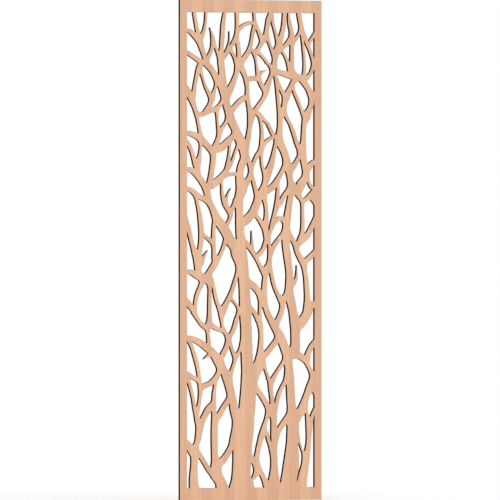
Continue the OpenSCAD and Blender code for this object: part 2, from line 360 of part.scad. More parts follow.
// Branches of the lower band, left half, z 500 to 750
lower_left = [
  [[-238.6, 750, 20], [-231.5, 737, 15], [-224, 726, 14], [-215, 713, 15], [-204.5, 702.5, 18],
   [-192, 693, 22], [-181, 690, 18]],
  [[-174, 750, 16], [-173.5, 740, 16], [-173.7, 725, 19], [-174, 712, 24], [-178, 698, 28],
   [-181, 685, 18], [-181.5, 675, 12], [-179.6, 659, 12], [-177.6, 643, 15], [-176.5, 630, 17],
   [-178, 618, 14]],
  [[-176, 704, 18], [-166, 700, 22], [-155, 694, 17.5], [-145, 687, 17.5], [-132, 683.5, 17],
   [-120, 681, 18], [-108, 672, 15], [-100, 660, 18], [-94.5, 645, 17]],
  [[-121, 752, 30], [-122.7, 739, 23], [-123, 727, 15.5], [-122, 715, 11], [-120, 703, 9.5],
   [-118, 691, 12], [-112, 678, 15], [-104, 667, 13], [-96, 655, 18]],
  [[-285, 650, 28], [-267, 649, 22], [-249, 647, 22], [-234, 641.5, 23], [-218, 634, 25],
   [-203, 624, 26], [-188, 613, 29], [-173, 602, 30], [-160, 589, 32], [-146, 573, 36],
   [-134, 556, 42], [-127, 541, 38], [-123.5, 530, 37], [-121, 517, 42]],
  [[-199, 565, 2], [-192, 570.5, 5], [-184, 577, 10], [-172, 583, 14]],
  [[-262, 642, 18], [-255, 628, 15], [-248.5, 614, 14.5], [-243.5, 601, 14.5], [-238, 583, 15],
   [-232.4, 565, 15.5], [-227.5, 547, 15], [-223.5, 529, 14], [-220.5, 511, 14], [-218.5, 497, 13.5]],
  [[-47, 756, 15], [-54, 742, 13], [-60.5, 723, 16], [-63.7, 707, 18], [-67.7, 693, 18.5],
   [-73, 679, 17], [-80, 667, 15.5], [-89, 656, 19], [-94, 644, 17.5], [-96, 630, 20],
   [-102.5, 614, 18], [-108, 600, 21], [-116, 585, 22], [-125, 570, 18]],
  [[-94, 646, 18], [-88, 628, 18], [-81.2, 611, 12], [-76.7, 598, 13.5], [-70, 584, 18],
   [-64, 572, 18]],
  [[-34, 640, 16], [-39.5, 620, 13], [-43, 605, 11.5], [-49, 594, 11.5], [-56.5, 583, 17],
   [-62, 572, 18], [-65, 563, 13.5], [-69, 551, 12], [-74.3, 535, 12.3], [-78.7, 521, 13.5],
   [-83, 509, 16], [-90, 498, 26]],
  [[-22, 758, 60], [-21, 740, 48], [-21, 725, 46.5], [-19.6, 705, 45], [-18.4, 685, 45],
   [-17.9, 665, 45], [-18, 647, 46], [-19, 631, 48], [-18, 615, 50], [-16.8, 598, 47],
   [-15.7, 575, 46.7], [-15, 555, 47], [-13, 535, 50], [-5, 520, 66], [-1, 505, 74], [-1, 496, 72]],
];

// Branches of the lower band, right half, z 500 to 750
lower_right = [
  [[-10, 772, 22], [2, 766, 20], [11, 757, 16], [18, 747, 16], [26, 734, 20], [35, 719, 24],
   [40.3, 703, 20.6], [43, 687, 18], [44.7, 669, 17], [45.2, 653, 17], [44.5, 635, 18.3],
   [43, 617, 20], [42, 600, 24], [45, 582, 38], [42, 562, 42], [38, 545, 46], [28, 530, 50],
   [16, 515, 50]],
  [[39, 752, 12], [41, 742, 12], [36, 730, 16]],
  [[70.7, 750, 23], [77, 737, 23], [83.5, 725, 24], [91, 713, 28], [98, 702, 31], [104, 690, 29],
   [112, 676, 31], [121, 662, 34], [129, 646, 36], [136, 630, 36], [141, 618, 34], [146, 604, 36],
   [156, 590, 44], [161, 576, 44]],
  [[130, 750, 21], [124, 736, 20.5], [118.5, 724, 20.5], [111, 712, 24], [104, 700, 28]],
  [[122, 654, 26], [110.5, 639, 22], [89, 613, 22], [68, 588, 22], [52, 568, 20]],
  [[180.5, 750, 33.5], [184, 735, 36], [188, 718, 42], [192, 700, 46], [192, 685, 42], [190, 672, 37],
   [189.5, 660, 35.5], [190, 645, 36], [190.5, 630, 37], [190.5, 612, 38.5], [184, 596, 52],
   [172, 584, 58], [160, 571, 35], [157, 551, 40], [160.5, 539, 33], [162.8, 527, 32.6],
   [163.5, 515, 34], [163, 500, 39]],
  [[246, 768, 34], [243, 752, 36], [236, 738, 36], [226, 724, 38], [212, 706, 40], [200, 694, 30]],
  [[38, 560, 40], [52, 545, 24], [60.5, 531, 12], [64, 519, 10.5], [68.4, 507, 10.5], [72, 497, 10.5]],
  [[152, 564, 24], [142, 555, 17], [133, 543, 14], [119, 523, 13.5], [110, 510, 13.5], [100, 496, 14]],
  [[180, 588, 36], [204, 579, 28], [220, 569, 26], [236, 561, 28]],
  [[288, 640, 30], [274, 630, 26], [260.5, 617, 21], [251, 602, 20.5], [244, 586, 21], [240, 570, 26],
   [238.5, 555, 23], [242, 542, 17], [248, 529, 14.5], [256, 515, 17], [265, 503, 24], [280, 492, 34]],
];

// Branches of the low band, left half, z 250 to 500
low_left = [
  [[-285, 508, 26], [-270, 505, 24], [-256, 499, 19], [-245, 492, 16], [-235, 488, 18],
   [-224, 484, 20]],
  [[-218.5, 497, 14], [-216, 484, 14], [-215.8, 472, 13.5], [-213, 458, 17], [-211.5, 441, 17],
   [-212.5, 425, 14], [-214, 409, 13.4], [-216.3, 393, 13], [-220, 376, 14], [-226, 360, 20],
   [-229, 345, 18], [-228.5, 335, 17], [-224, 322, 26], [-215, 308, 32]],
  [[-276, 500, 24], [-266, 482, 18], [-258, 468, 13.5], [-254.5, 453, 13.7], [-251, 439, 12.4],
   [-247.5, 425, 12], [-244.2, 411, 11.6], [-241.6, 397, 12], [-239.4, 383, 12.6], [-235, 366, 18],
   [-230, 350, 19]],
  [[-138, 505, 20], [-147, 490, 19], [-158, 477, 23], [-168, 469, 21], [-181, 463.5, 20],
   [-193, 459, 20], [-204, 455, 20], [-212, 450, 18]],
  [[-141, 496, 20], [-147, 480, 15], [-150, 465, 11], [-152, 450, 11.2], [-154, 435, 13.4],
   [-155.3, 421, 15.2], [-155.4, 407, 15.2], [-155, 395, 15], [-157, 378, 24], [-157, 362, 20],
   [-155, 350, 16], [-150, 335, 26], [-150, 322, 29], [-151.4, 312, 26], [-152.6, 300, 25.4],
   [-153, 283, 25.4], [-153.2, 248, 26]],
  [[-158, 390, 14], [-166, 378, 28], [-180, 362, 27], [-188.5, 349.5, 24], [-195.7, 337, 22.5],
   [-203, 323, 22], [-211, 310, 30], [-214.4, 300, 32], [-216, 288, 29], [-217.6, 275, 26.4],
   [-220, 261, 24], [-222, 247, 24.7]],
  [[-106, 513, 38], [-100, 494, 40], [-96, 480, 37], [-93, 467, 34], [-89.5, 453, 33], [-86, 439, 32],
   [-82, 425, 33], [-79, 412, 34], [-76, 399, 33], [-73.3, 385, 33], [-70.5, 369, 34], [-69, 358, 33],
   [-63, 340, 36], [-58, 322, 30]],
  [[-84, 412, 24], [-94.7, 399, 21], [-104.3, 386.7, 21], [-113.8, 372.7, 21], [-122.3, 358.7, 21],
   [-131, 344, 24], [-141, 330, 20]],
  [[-1, 503, 73], [-3.7, 485, 69.5], [-6, 470, 65.5], [-7, 455, 66], [-9.5, 437, 63], [-10.3, 425, 64],
   [-11.8, 405, 65], [-13.2, 385, 66.5], [-15, 365, 67], [-18, 354, 72], [-26, 340, 86],
   [-30, 325, 91], [-31, 305, 90], [-32.5, 285, 90], [-35.3, 265, 92], [-38, 248, 95.5]],
];

// Branches of the low band, right half, z 250 to 500
low_right = [
  [[103, 500, 15], [96, 487, 18], [89, 476, 22], [83.5, 461, 20], [84.4, 448, 17], [86.3, 434, 16.3],
   [88.6, 420, 16.6], [90.3, 405, 16.4], [91.8, 391, 16.8], [92, 376, 24], [88, 360, 44]],
  [[72, 500, 10.5], [74.5, 487, 13], [82, 476, 16]],
  [[165, 497, 38], [158, 486, 26], [148, 473, 18], [138, 460, 15.5], [132, 450, 15], [126, 438.5, 15],
   [119.5, 423, 15.5], [114.7, 408.5, 16.5], [112, 395, 16], [109.5, 382, 16], [106, 368, 18],
   [103, 356, 18]],
  [[163, 500, 39], [163, 488, 42], [166, 474, 38], [168, 463, 33], [169.3, 445, 33], [170, 425, 33],
   [171.4, 405, 33.7], [173, 385, 34], [174.5, 368, 35], [178, 350, 44], [180, 335, 62],
   [178, 320, 66], [178, 308, 54], [180, 296, 48], [179.7, 280, 49], [180, 265, 51], [180.4, 248, 53]],
  [[14, 450, 36], [26, 440, 26], [36, 431.5, 20], [44.7, 419.5, 19.5], [53.2, 406.5, 20],
   [61.7, 392.5, 20.5], [69, 380.5, 20.5], [80, 366, 30]],
  [[90, 368, 46], [88, 356, 44], [80, 346, 36], [69.6, 336, 16.3], [66.5, 324, 13.5],
   [62.5, 311, 14.5], [57.7, 297, 18.6], [55, 281, 24.5], [54, 269, 30], [47, 256, 24], [43, 247, 22]],
  [[92, 352, 38], [98, 330, 27], [99, 313, 23], [98, 297, 23], [100, 283, 28], [106, 270, 40],
   [104, 257, 36], [103, 247, 34]],
  [[60, 280, 14], [68, 268, 16], [73, 254, 13], [73.5, 246, 13]],
  [[170, 334, 40], [158, 325, 33], [147, 314, 26], [136.5, 304, 21.5], [127.5, 291.5, 21],
   [120, 277, 18]],
  [[265, 503, 26], [265, 488, 24], [260, 475, 25], [257, 462, 31], [253, 447, 36], [247, 435, 30],
   [240, 423, 25], [234.5, 410, 25.5], [230, 395, 28.5], [225, 378, 34], [219, 362, 38],
   [208, 346, 38], [194, 334, 20]],
  [[282, 455, 60], [276, 438, 30], [280, 420, 22]],
  [[228, 366, 28], [237, 355, 13], [239, 347, 11.5], [240.6, 335, 13], [245, 322, 22],
   [249.6, 309, 28.6], [249.2, 298, 27.6], [248.5, 280, 24.3], [247.5, 265, 21], [246.6, 248, 18]],
  [[276, 365, 16], [269, 352, 16], [263, 340, 13.5], [258, 327, 16], [252, 314, 24]],
];

// Branches of the foot band, left half, z 50 to 250
foot_left = [
  [[-285, 238, 34], [-273, 230, 28], [-260, 216, 31], [-250, 205, 34], [-243, 194, 36]],
  [[-222, 250, 23], [-224.7, 237, 19.5], [-228, 226, 20], [-234, 214, 30], [-240, 201, 42],
   [-237, 190, 44], [-234, 178, 40], [-237, 167, 29], [-238, 151, 26.4], [-239, 135, 27.5],
   [-240.3, 115, 29.7], [-241, 95, 33], [-241, 75, 35], [-239, 60, 38], [-237, 44, 42]],
  [[-232, 192, 36], [-218, 184, 24], [-210.7, 176, 18.5], [-201.2, 162, 18], [-191.6, 146, 17.8],
   [-182, 131, 19], [-171, 117, 23], [-158, 106, 22]],
  [[-153.2, 250, 26], [-153, 235, 25.6], [-152.4, 195, 25.5], [-151.4, 175, 25.4], [-146, 158, 38],
   [-141, 140, 44], [-144, 126, 36]],
  [[-66, 236, 50], [-80, 216, 24], [-91, 198, 23], [-98.4, 185, 24], [-107.5, 172, 26],
   [-118, 160, 28], [-134, 146, 26]],
  [[-146, 150, 38], [-148, 130, 42], [-150, 115, 52], [-143, 99, 48], [-133, 85, 42], [-126, 71, 42.5],
   [-122, 59, 48], [-119, 44, 56]],
  [[-38, 250, 95.5], [-40, 235, 94], [-38, 218, 86], [-35, 204, 78], [-35, 190, 79], [-35, 176, 79],
   [-35.5, 165, 78], [-37, 151, 74], [-37.5, 140, 75], [-38, 125, 75], [-39, 105, 76], [-40, 90, 80],
   [-36, 76, 92], [-37, 59, 102], [-38.5, 44, 102]],
  [[-15, 170, 24], [4, 163, 30], [22, 156, 30]],
];

// Branches of the foot band, right half, z 50 to 250
foot_right = [
  [[46, 255, 24], [42, 243, 20], [39.3, 233, 19.5], [36, 221, 19.5], [32.3, 207, 18.6],
   [29.3, 193, 18], [26.5, 179, 17.7], [23, 166, 24], [22, 152, 32], [26, 138, 29], [31, 125, 31],
   [32, 113, 32]],
  [[24, 116, 20], [20, 100, 19], [12, 88, 14]],
  [[36, 120, 24], [43.6, 109, 19], [52, 95, 18.5], [58.3, 81.5, 20], [67, 64, 28], [76, 48, 36]],
  [[73.5, 255, 13], [73.3, 245, 14], [77, 235, 14.5], [86, 222, 22], [92, 210, 24]],
  [[103, 252, 33], [102, 245, 30], [101, 232, 26], [96, 218, 32], [94.8, 207, 33.5], [96.4, 193, 30],
   [98.2, 179, 27], [99.5, 165, 26.2], [100, 150, 26.8], [100, 135, 28.6], [100, 120, 31.4],
   [99.3, 105, 35], [99, 93, 40], [99, 81, 44.5], [98, 66, 60]],
  [[181, 252, 52], [181, 240, 54], [176, 226, 47], [175.7, 210, 50.5], [175.3, 195, 54.6],
   [175, 179, 58.5], [174.2, 165, 61], [172.7, 149, 63], [171.3, 135, 64.7], [169.8, 120, 66],
   [167, 105, 65], [164, 92, 63.5], [162, 80, 66], [163, 64, 74]],
  [[200, 246, 16], [204, 236, 11], [208.4, 226, 7.3], [213.7, 211, 7.5], [217, 199, 7.5],
   [224, 190, 10]],
  [[247, 252, 19.5], [246, 235, 18], [245, 223, 19], [243.3, 207, 20.7], [241, 195, 22],
   [236, 183, 32], [235, 174, 32], [234.3, 163, 29.7], [233.3, 150, 29.5], [231, 138, 30.4],
   [228.2, 125, 32], [225, 112, 34.7], [222.3, 99, 37], [219.7, 85, 38.5], [217, 70, 42],
   [216, 46, 40]],
  [[66, 58, 24], [90, 57, 30], [124, 54, 26], [160, 56, 34], [198, 57, 34], [216, 58, 36]],
];

branches = concat(crown_left, crown_right, upper_left, upper_right, shoulder_left, shoulder_right,
                  middle_left, middle_right, waist_left, waist_right, lower_left, lower_right,
                  low_left, low_right, foot_left, foot_right);

// The drawing is stretched so that its outermost stations keep their bite in the border
stations = [for (b = branches) for (q = b) q];
reach_x = max([for (q = stations) abs(q[0])]);
low_z = min([for (q = stations) q[1]]);
high_z = max([for (q = stations) q[1]]);
fit_x = (panel_w / 2 - side_w + bite_x) / reach_x;
fit_z = (panel_h - 2 * rail_h + bite_foot + bite_head) / (high_z - low_z);
stave_w = fit_x * 2 * (reach_x - bite_x + drawn_side) / stave_count;

// A drawn station moved to its place on the board
function placed(s) =
  [s[0] * fit_x, rail_h - bite_foot + (s[1] - low_z) * fit_z, max(1, s[2] + branch_gain)];

// One value of a smooth curve through b and c, with a and d as the neighbours
function smooth(a, b, c, d, u) =
  0.5 * (2 * b + (c - a) * u + (2 * a - 5 * b + 4 * c - d) * u * u + (3 * b - a - 3 * c + d) * u * u * u);

// Station i of p, carried straight on past either end
function station(p, i) =
  i < 0 ? 2 * p[0] - p[1] :
  i >= len(p) ? 2 * p[len(p) - 1] - p[len(p) - 2] : p[i];

// Flat distance between two stations
function reach(a, b) = norm([b[0] - a[0], b[1] - a[1]]);

// The stations filled in with steps no longer than step_len or so
function curve(p) = [
  for (i = [0 : len(p) - 2])
    let (steps = max(1, round(reach(p[i], p[i + 1]) / step_len)))
      for (k = [0 : steps - 1])
        smooth(station(p, i - 1), p[i], p[i + 1], station(p, i + 2), k / steps),
  p[len(p) - 1]
];

// One edge of a branch: hand is 1 for the left edge and -1 for the right edge
function edge(s, hand) = [
  for (i = [0 : len(s) - 1])
    let (a = s[max(0, i - 1)], b = s[min(len(s) - 1, i + 1)], run = reach(a, b), half = s[i][2] / 2)
      [s[i][0] - hand * half * (b[1] - a[1]) / run, s[i][1] + hand * half * (b[0] - a[0]) / run]
];

function backwards(v) = [for (i = [len(v) - 1 : -1 : 0]) v[i]];

// A branch: its two edges joined, and a rounding on each end
module branch(p) {
  s = curve([for (q = p) placed(q)]);
  polygon(concat(edge(s, 1), backwards(edge(s, -1))));
  for (q = [s[0], s[len(s) - 1]])
    translate([q[0], q[1]]) circle(d = min(q[2], end_d), $fn = 16);
}

// The plain rails and side strips
module border() {
  difference() {
    translate([-panel_w / 2, 0]) square([panel_w, panel_h]);
    translate([side_w - panel_w / 2, rail_h]) square([panel_w - 2 * side_w, panel_h - 2 * rail_h]);
  }
}

// The whole drawing as it can be cut: a gap narrower than the cutter stays closed, and a
// sliver thinner than thinnest is lost
module fretwork() {
  offset(delta = thinnest / 2) offset(delta = -(cutter_d + thinnest) / 2) offset(delta = cutter_d / 2) {
    border();
    for (p = branches) branch(p);
  }
}

// Place across the board of the joint on the left of stave i. Inner joints move with the
// branches, and the two outer staves take up the rest of the width.
function joint(i) =
  i < 1 ? -panel_w / 2 :
  i >= stave_count ? panel_w / 2 :
  (i - stave_count / 2) * stave_w;

// The strip of the board that stave i takes up, counted from the left edge of the board
module strip(i) {
  translate([joint(i) + glue_gap, 0])
    square([joint(i + 1) - joint(i) - 2 * glue_gap, panel_h]);
}

// What the cutter leaves of stave i, without the specks that a branch just touching a glue
// joint would give. The glue-up puts darker and paler staves in turn.
module stave(i) {
  color(i % 2 == 0 ? dark_wood : light_wood)
    rotate([90, 0, 0])
      translate([0, 0, -board_t / 2])
        linear_extrude(height = board_t)
          offset(delta = speck / 2) offset(delta = -speck / 2)
            intersection() { fretwork(); strip(i); }
}

for (i = [0 : stave_count - 1])
  stave(i);
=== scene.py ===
import bisect
import json
import math

import bmesh
import bpy
from bpy.props import FloatProperty, FloatVectorProperty, IntProperty, PointerProperty
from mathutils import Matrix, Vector

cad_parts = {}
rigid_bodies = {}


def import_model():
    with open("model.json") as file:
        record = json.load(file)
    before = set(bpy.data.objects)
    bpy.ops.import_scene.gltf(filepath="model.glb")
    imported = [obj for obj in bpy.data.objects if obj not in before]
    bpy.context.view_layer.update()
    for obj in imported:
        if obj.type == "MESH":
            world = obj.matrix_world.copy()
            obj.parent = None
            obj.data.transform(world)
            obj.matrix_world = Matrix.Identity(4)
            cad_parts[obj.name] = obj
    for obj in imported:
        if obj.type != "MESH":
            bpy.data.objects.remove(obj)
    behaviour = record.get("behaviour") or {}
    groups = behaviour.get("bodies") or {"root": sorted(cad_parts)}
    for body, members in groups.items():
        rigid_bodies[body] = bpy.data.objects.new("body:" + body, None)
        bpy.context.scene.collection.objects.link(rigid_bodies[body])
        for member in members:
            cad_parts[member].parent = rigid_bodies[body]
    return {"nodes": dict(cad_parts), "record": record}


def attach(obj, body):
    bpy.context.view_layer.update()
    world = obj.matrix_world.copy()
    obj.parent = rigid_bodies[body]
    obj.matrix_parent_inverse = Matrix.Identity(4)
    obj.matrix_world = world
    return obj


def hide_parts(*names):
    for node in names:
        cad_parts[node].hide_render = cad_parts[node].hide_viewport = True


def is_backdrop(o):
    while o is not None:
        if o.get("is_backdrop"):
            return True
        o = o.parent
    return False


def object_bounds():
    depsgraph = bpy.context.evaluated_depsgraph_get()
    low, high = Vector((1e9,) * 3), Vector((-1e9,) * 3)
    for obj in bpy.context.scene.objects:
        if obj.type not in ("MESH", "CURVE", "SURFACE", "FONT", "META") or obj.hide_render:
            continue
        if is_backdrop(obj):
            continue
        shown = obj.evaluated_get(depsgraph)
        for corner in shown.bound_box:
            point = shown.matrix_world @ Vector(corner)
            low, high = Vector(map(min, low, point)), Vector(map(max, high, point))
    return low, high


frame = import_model()
CAD_LOW, CAD_HIGH = (tuple(corner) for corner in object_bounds())

bl_info = {
    "name": "Fretwork Wood Panel",
    "version": (1, 0, 0),
    "blender": (4, 5, 0),
    "location": "3D View > Sidebar > Fretwork",
    "description": "Finishes the staves of a fretwork panel and sets a plain pale stage round it",
    "category": "Object",
}

MM = 0.001
DARK_SLOT = "wood_dark_stave"
PALE_SLOT = "wood_pale_stave"
STAVES = sorted(name for name in frame["nodes"] if name.startswith("stave_"))
BOARD_WIDTH = CAD_HIGH[0] - CAD_LOW[0]
BOARD_HEIGHT = CAD_HIGH[2] - CAD_LOW[2]
STAVE_WIDTH = BOARD_WIDTH / len(STAVES)

# The plain border: width of the side strips and height of the rails
SIDE_STRIP = 30 * MM
RAIL = 50 * MM

# Order of the material slots on every stave
FACE, WALL, ARRIS = 0, 1, 2

# Corners of the solid's loose triangles that lie this close together are one
WELD = 0.05 * MM
# How far a polygon's normal points along an axis, out of 1, if it faces the front or the back, and
# if it lies square to the board's width
FACING = 0.99
SQUARE_ON = 0.999
# Triangles of a wall that turn less than this from one to the next are one flat
SAME_FLAT = math.radians(0.5)
# What lies this close to a line of the drawing, or to the front or the back, lies on it
ON_LINE = 0.02 * MM
ON_FACE = 0.01 * MM
# A contour that turns more than CORNER_ANGLE within CORNER_REACH to either side of a point has a
# true corner there, which is kept
CORNER_REACH = 10 * MM
CORNER_ANGLE = math.radians(75)
# A point of a contour is evened with this many places on either side of it, whose weight drops
# from 1 beside it to exp(-SWEEP_FALL) at the far ends
SWEEP_PLACES = 6
SWEEP_FALL = 2.5
# A point with less room than this before the next corner stays where it is
LEAST_SWEEP = 0.1 * MM
# Points of a contour are kept apart by this many arris widths, so that the softening has room
ARRIS_ROOM = 1.2
# Points that the evening has brought this close together are one
SAME_POINT = 0.005 * MM
# Walls that turn less than this from one step to the next look like one curve
CURVE_STEP = math.radians(20)
# Shorter than any step along a contour
TINY = 1e-6

# Softboxes: metres to the right of the panel's middle, metres behind it, and share of the lamp
# power; their height above the floor and their width are in metres too
SOFTBOXES = {
    "front left softbox": (-2.2, -3.2, 1.25),
    "front right softbox": (2.6, -3.0, 0.75),
    "back left softbox": (-2.4, 3.1, 0.9),
    "back right softbox": (2.4, 3.1, 0.9),
}
SOFTBOX_HEIGHT = 1.2
SOFTBOX_SIZE = 2.4
# The camera looks at a point this far to the right of the panel's middle, behind it and above it
AIM_OFFSET = (-0.7 * MM, 0.2 * MM, 0.8 * MM)
# Width of the camera's sensor in millimetres, which its lens is given in too
SENSOR = 36
# How far the camera sees, in metres
SIGHT = 200


def linear(hex_colour):
    """An sRGB hex colour as the linear red, green and blue that a shader takes."""
    parts = [int(hex_colour[i : i + 2], 16) / 255 for i in (1, 3, 5)]
    return tuple(p / 12.92 if p <= 0.04045 else ((p + 0.055) / 1.055) ** 2.4 for p in parts)


def colour_prop(name, description, hex_colour):
    """A colour setting with this sRGB hex value as its default."""
    return FloatVectorProperty(
        name=name,
        description=description,
        subtype="COLOR",
        size=3,
        min=0,
        max=1,
        default=linear(hex_colour),
    )


class WoodSettings(bpy.types.PropertyGroup):
    """Colours and grain of the board."""

    pale_wood: colour_prop("Pale stave", "Sanded face of the paler staves", "#E9BD9B")
    dark_wood: colour_prop("Dark stave", "Sanded face of the darker staves", "#DFB394")
    late_wood: colour_prop("Ring line", "Dense wood at the end of each year's growth", "#C48F6B")
    fleck: colour_prop("Ray fleck", "Short dashes that the rays leave in beech", "#A06A48")
    blush: colour_prop("Blush", "Pinker patches that steaming leaves in beech", "#E3AB8F")
    glue: colour_prop("Glue line", "Hair-thin joint between two staves", "#B98660")
    ring_gap: FloatProperty(
        name="Ring gap",
        description="Thickness of one year's growth",
        unit="LENGTH",
        min=0.5 * MM,
        max=12 * MM,
        default=3.4 * MM,
    )
    ring_strength: FloatProperty(
        name="Ring strength",
        description="How much the ring lines darken the wood",
        subtype="FACTOR",
        min=0,
        max=1,
        default=0.2,
    )


class CutSettings(bpy.types.PropertyGroup):
    """What the hot cutter leaves on the walls and edges."""

    char: colour_prop("Char", "Darkest streaks of the scorched walls", "#150A04")
    scorch: colour_prop("Scorch", "Brown of the scorched walls", "#371C0D")
    singe: colour_prop("Singe", "Browned edge between a face and a wall", "#4A2A17")
    arris_width: FloatProperty(
        name="Arris width",
        description="How far the sanded edge is softened on either side",
        unit="LENGTH",
        min=0.1 * MM,
        max=2 * MM,
        default=0.5 * MM,
    )
    arris_steps: IntProperty(
        name="Arris steps",
        description="Flats across a softened edge",
        min=1,
        max=4,
        default=2,
    )
    sweep: FloatProperty(
        name="Sweep",
        description="How far on either side the cutter evens out a kink in its path",
        unit="LENGTH",
        min=0,
        max=40 * MM,
        default=20 * MM,
    )
    step: FloatProperty(
        name="Step",
        description="Longest straight step along a cut edge",
        unit="LENGTH",
        min=2 * MM,
        max=30 * MM,
        default=7 * MM,
    )


class StageSettings(bpy.types.PropertyGroup):
    """Floor, light and camera."""

    floor: colour_prop("Floor", "Plain pale floor", "#F7F7F6")
    floor_depth: FloatProperty(
        name="Floor depth",
        description="How far the floor reaches in front of the panel and behind it",
        unit="LENGTH",
        min=0.3,
        max=5,
        default=0.9,
    )
    floor_glow: FloatProperty(
        name="Floor glow",
        description="How much nearer to plain white the camera sees the floor than it is lit",
        subtype="FACTOR",
        min=0,
        max=0.5,
        default=0.12,
    )
    sky: FloatProperty(
        name="Sky",
        description="Strength of the even light from all round",
        min=0,
        max=2,
        default=0.705,
    )
    lamp: FloatProperty(
        name="Lamps",
        description="Power of each soft lamp in front of the panel and behind it",
        unit="POWER",
        min=0,
        max=1000,
        default=33.2,
    )
    turn: FloatProperty(
        name="Camera turn",
        description="How far to the left of straight on the camera stands",
        subtype="ANGLE",
        min=-math.pi,
        max=math.pi,
        default=math.radians(19.2),
    )
    distance: FloatProperty(
        name="Camera distance",
        description="Distance of the camera from the panel",
        unit="LENGTH",
        min=3,
        max=80,
        default=33.3,
    )


# Materials


def add_node(tree, kind, inputs=(), **options):
    """Adds a node, sets its options, and gives each input, by name or by number, a value or a
    link. A node that is given for an input is linked by its first output. A Map Range node
    takes the value, the range that comes in and the range that goes out (1 to 4)."""
    node = tree.nodes.new(kind)
    for name, value in options.items():
        setattr(node, name, value)
    for key, value in dict(inputs).items():
        if isinstance(value, bpy.types.Node):
            value = value.outputs[0]
        if isinstance(value, bpy.types.NodeSocket):
            tree.links.new(value, node.inputs[key])
        else:
            node.inputs[key].default_value = value
    return node


def new_material(name):
    """An empty node material with its own output."""
    material = bpy.data.materials.new(name)
    material.use_nodes = True
    tree = material.node_tree
    tree.nodes.clear()
    output = add_node(tree, "ShaderNodeOutputMaterial")
    return material, tree, output


def own_place(tree):
    """Across, through and up the board, in the piece's own metres."""
    coordinates = add_node(tree, "ShaderNodeTexCoord").outputs["Object"]
    return tuple(add_node(tree, "ShaderNodeSeparateXYZ", {0: coordinates}).outputs)


def opaque(colour):
    """A colour with the fourth number that a colour socket takes."""
    return (*colour, 1.0)


def layered(tree, ground, layers):
    """The ground colour with each layer's colour laid over it, by that layer's share."""
    colour = opaque(ground)
    for share, tint in layers:
        colour = add_node(
            tree, "ShaderNodeMix", {0: share, 6: colour, 7: opaque(tint)}, data_type="RGBA"
        ).outputs[2]
    return colour


def patches(tree, place, spans, detail=2.0, shift=0.0, roughness=0.5):
    """Noise from 0 to 1 whose patches measure spans (in metres) across, through and up the
    board. Another shift gives other patches."""
    axes = {
        axis: add_node(
            tree, "ShaderNodeMath", {0: along, 1: 1 / span, 2: shift}, operation="MULTIPLY_ADD"
        )
        for axis, (along, span) in enumerate(zip(place, spans))
    }
    return add_node(
        tree,
        "ShaderNodeTexNoise",
        {
            "Vector": add_node(tree, "ShaderNodeCombineXYZ", axes),
            "Scale": 1.0,
            "Detail": detail,
            "Roughness": roughness,
        },
        noise_dimensions="3D",
    )


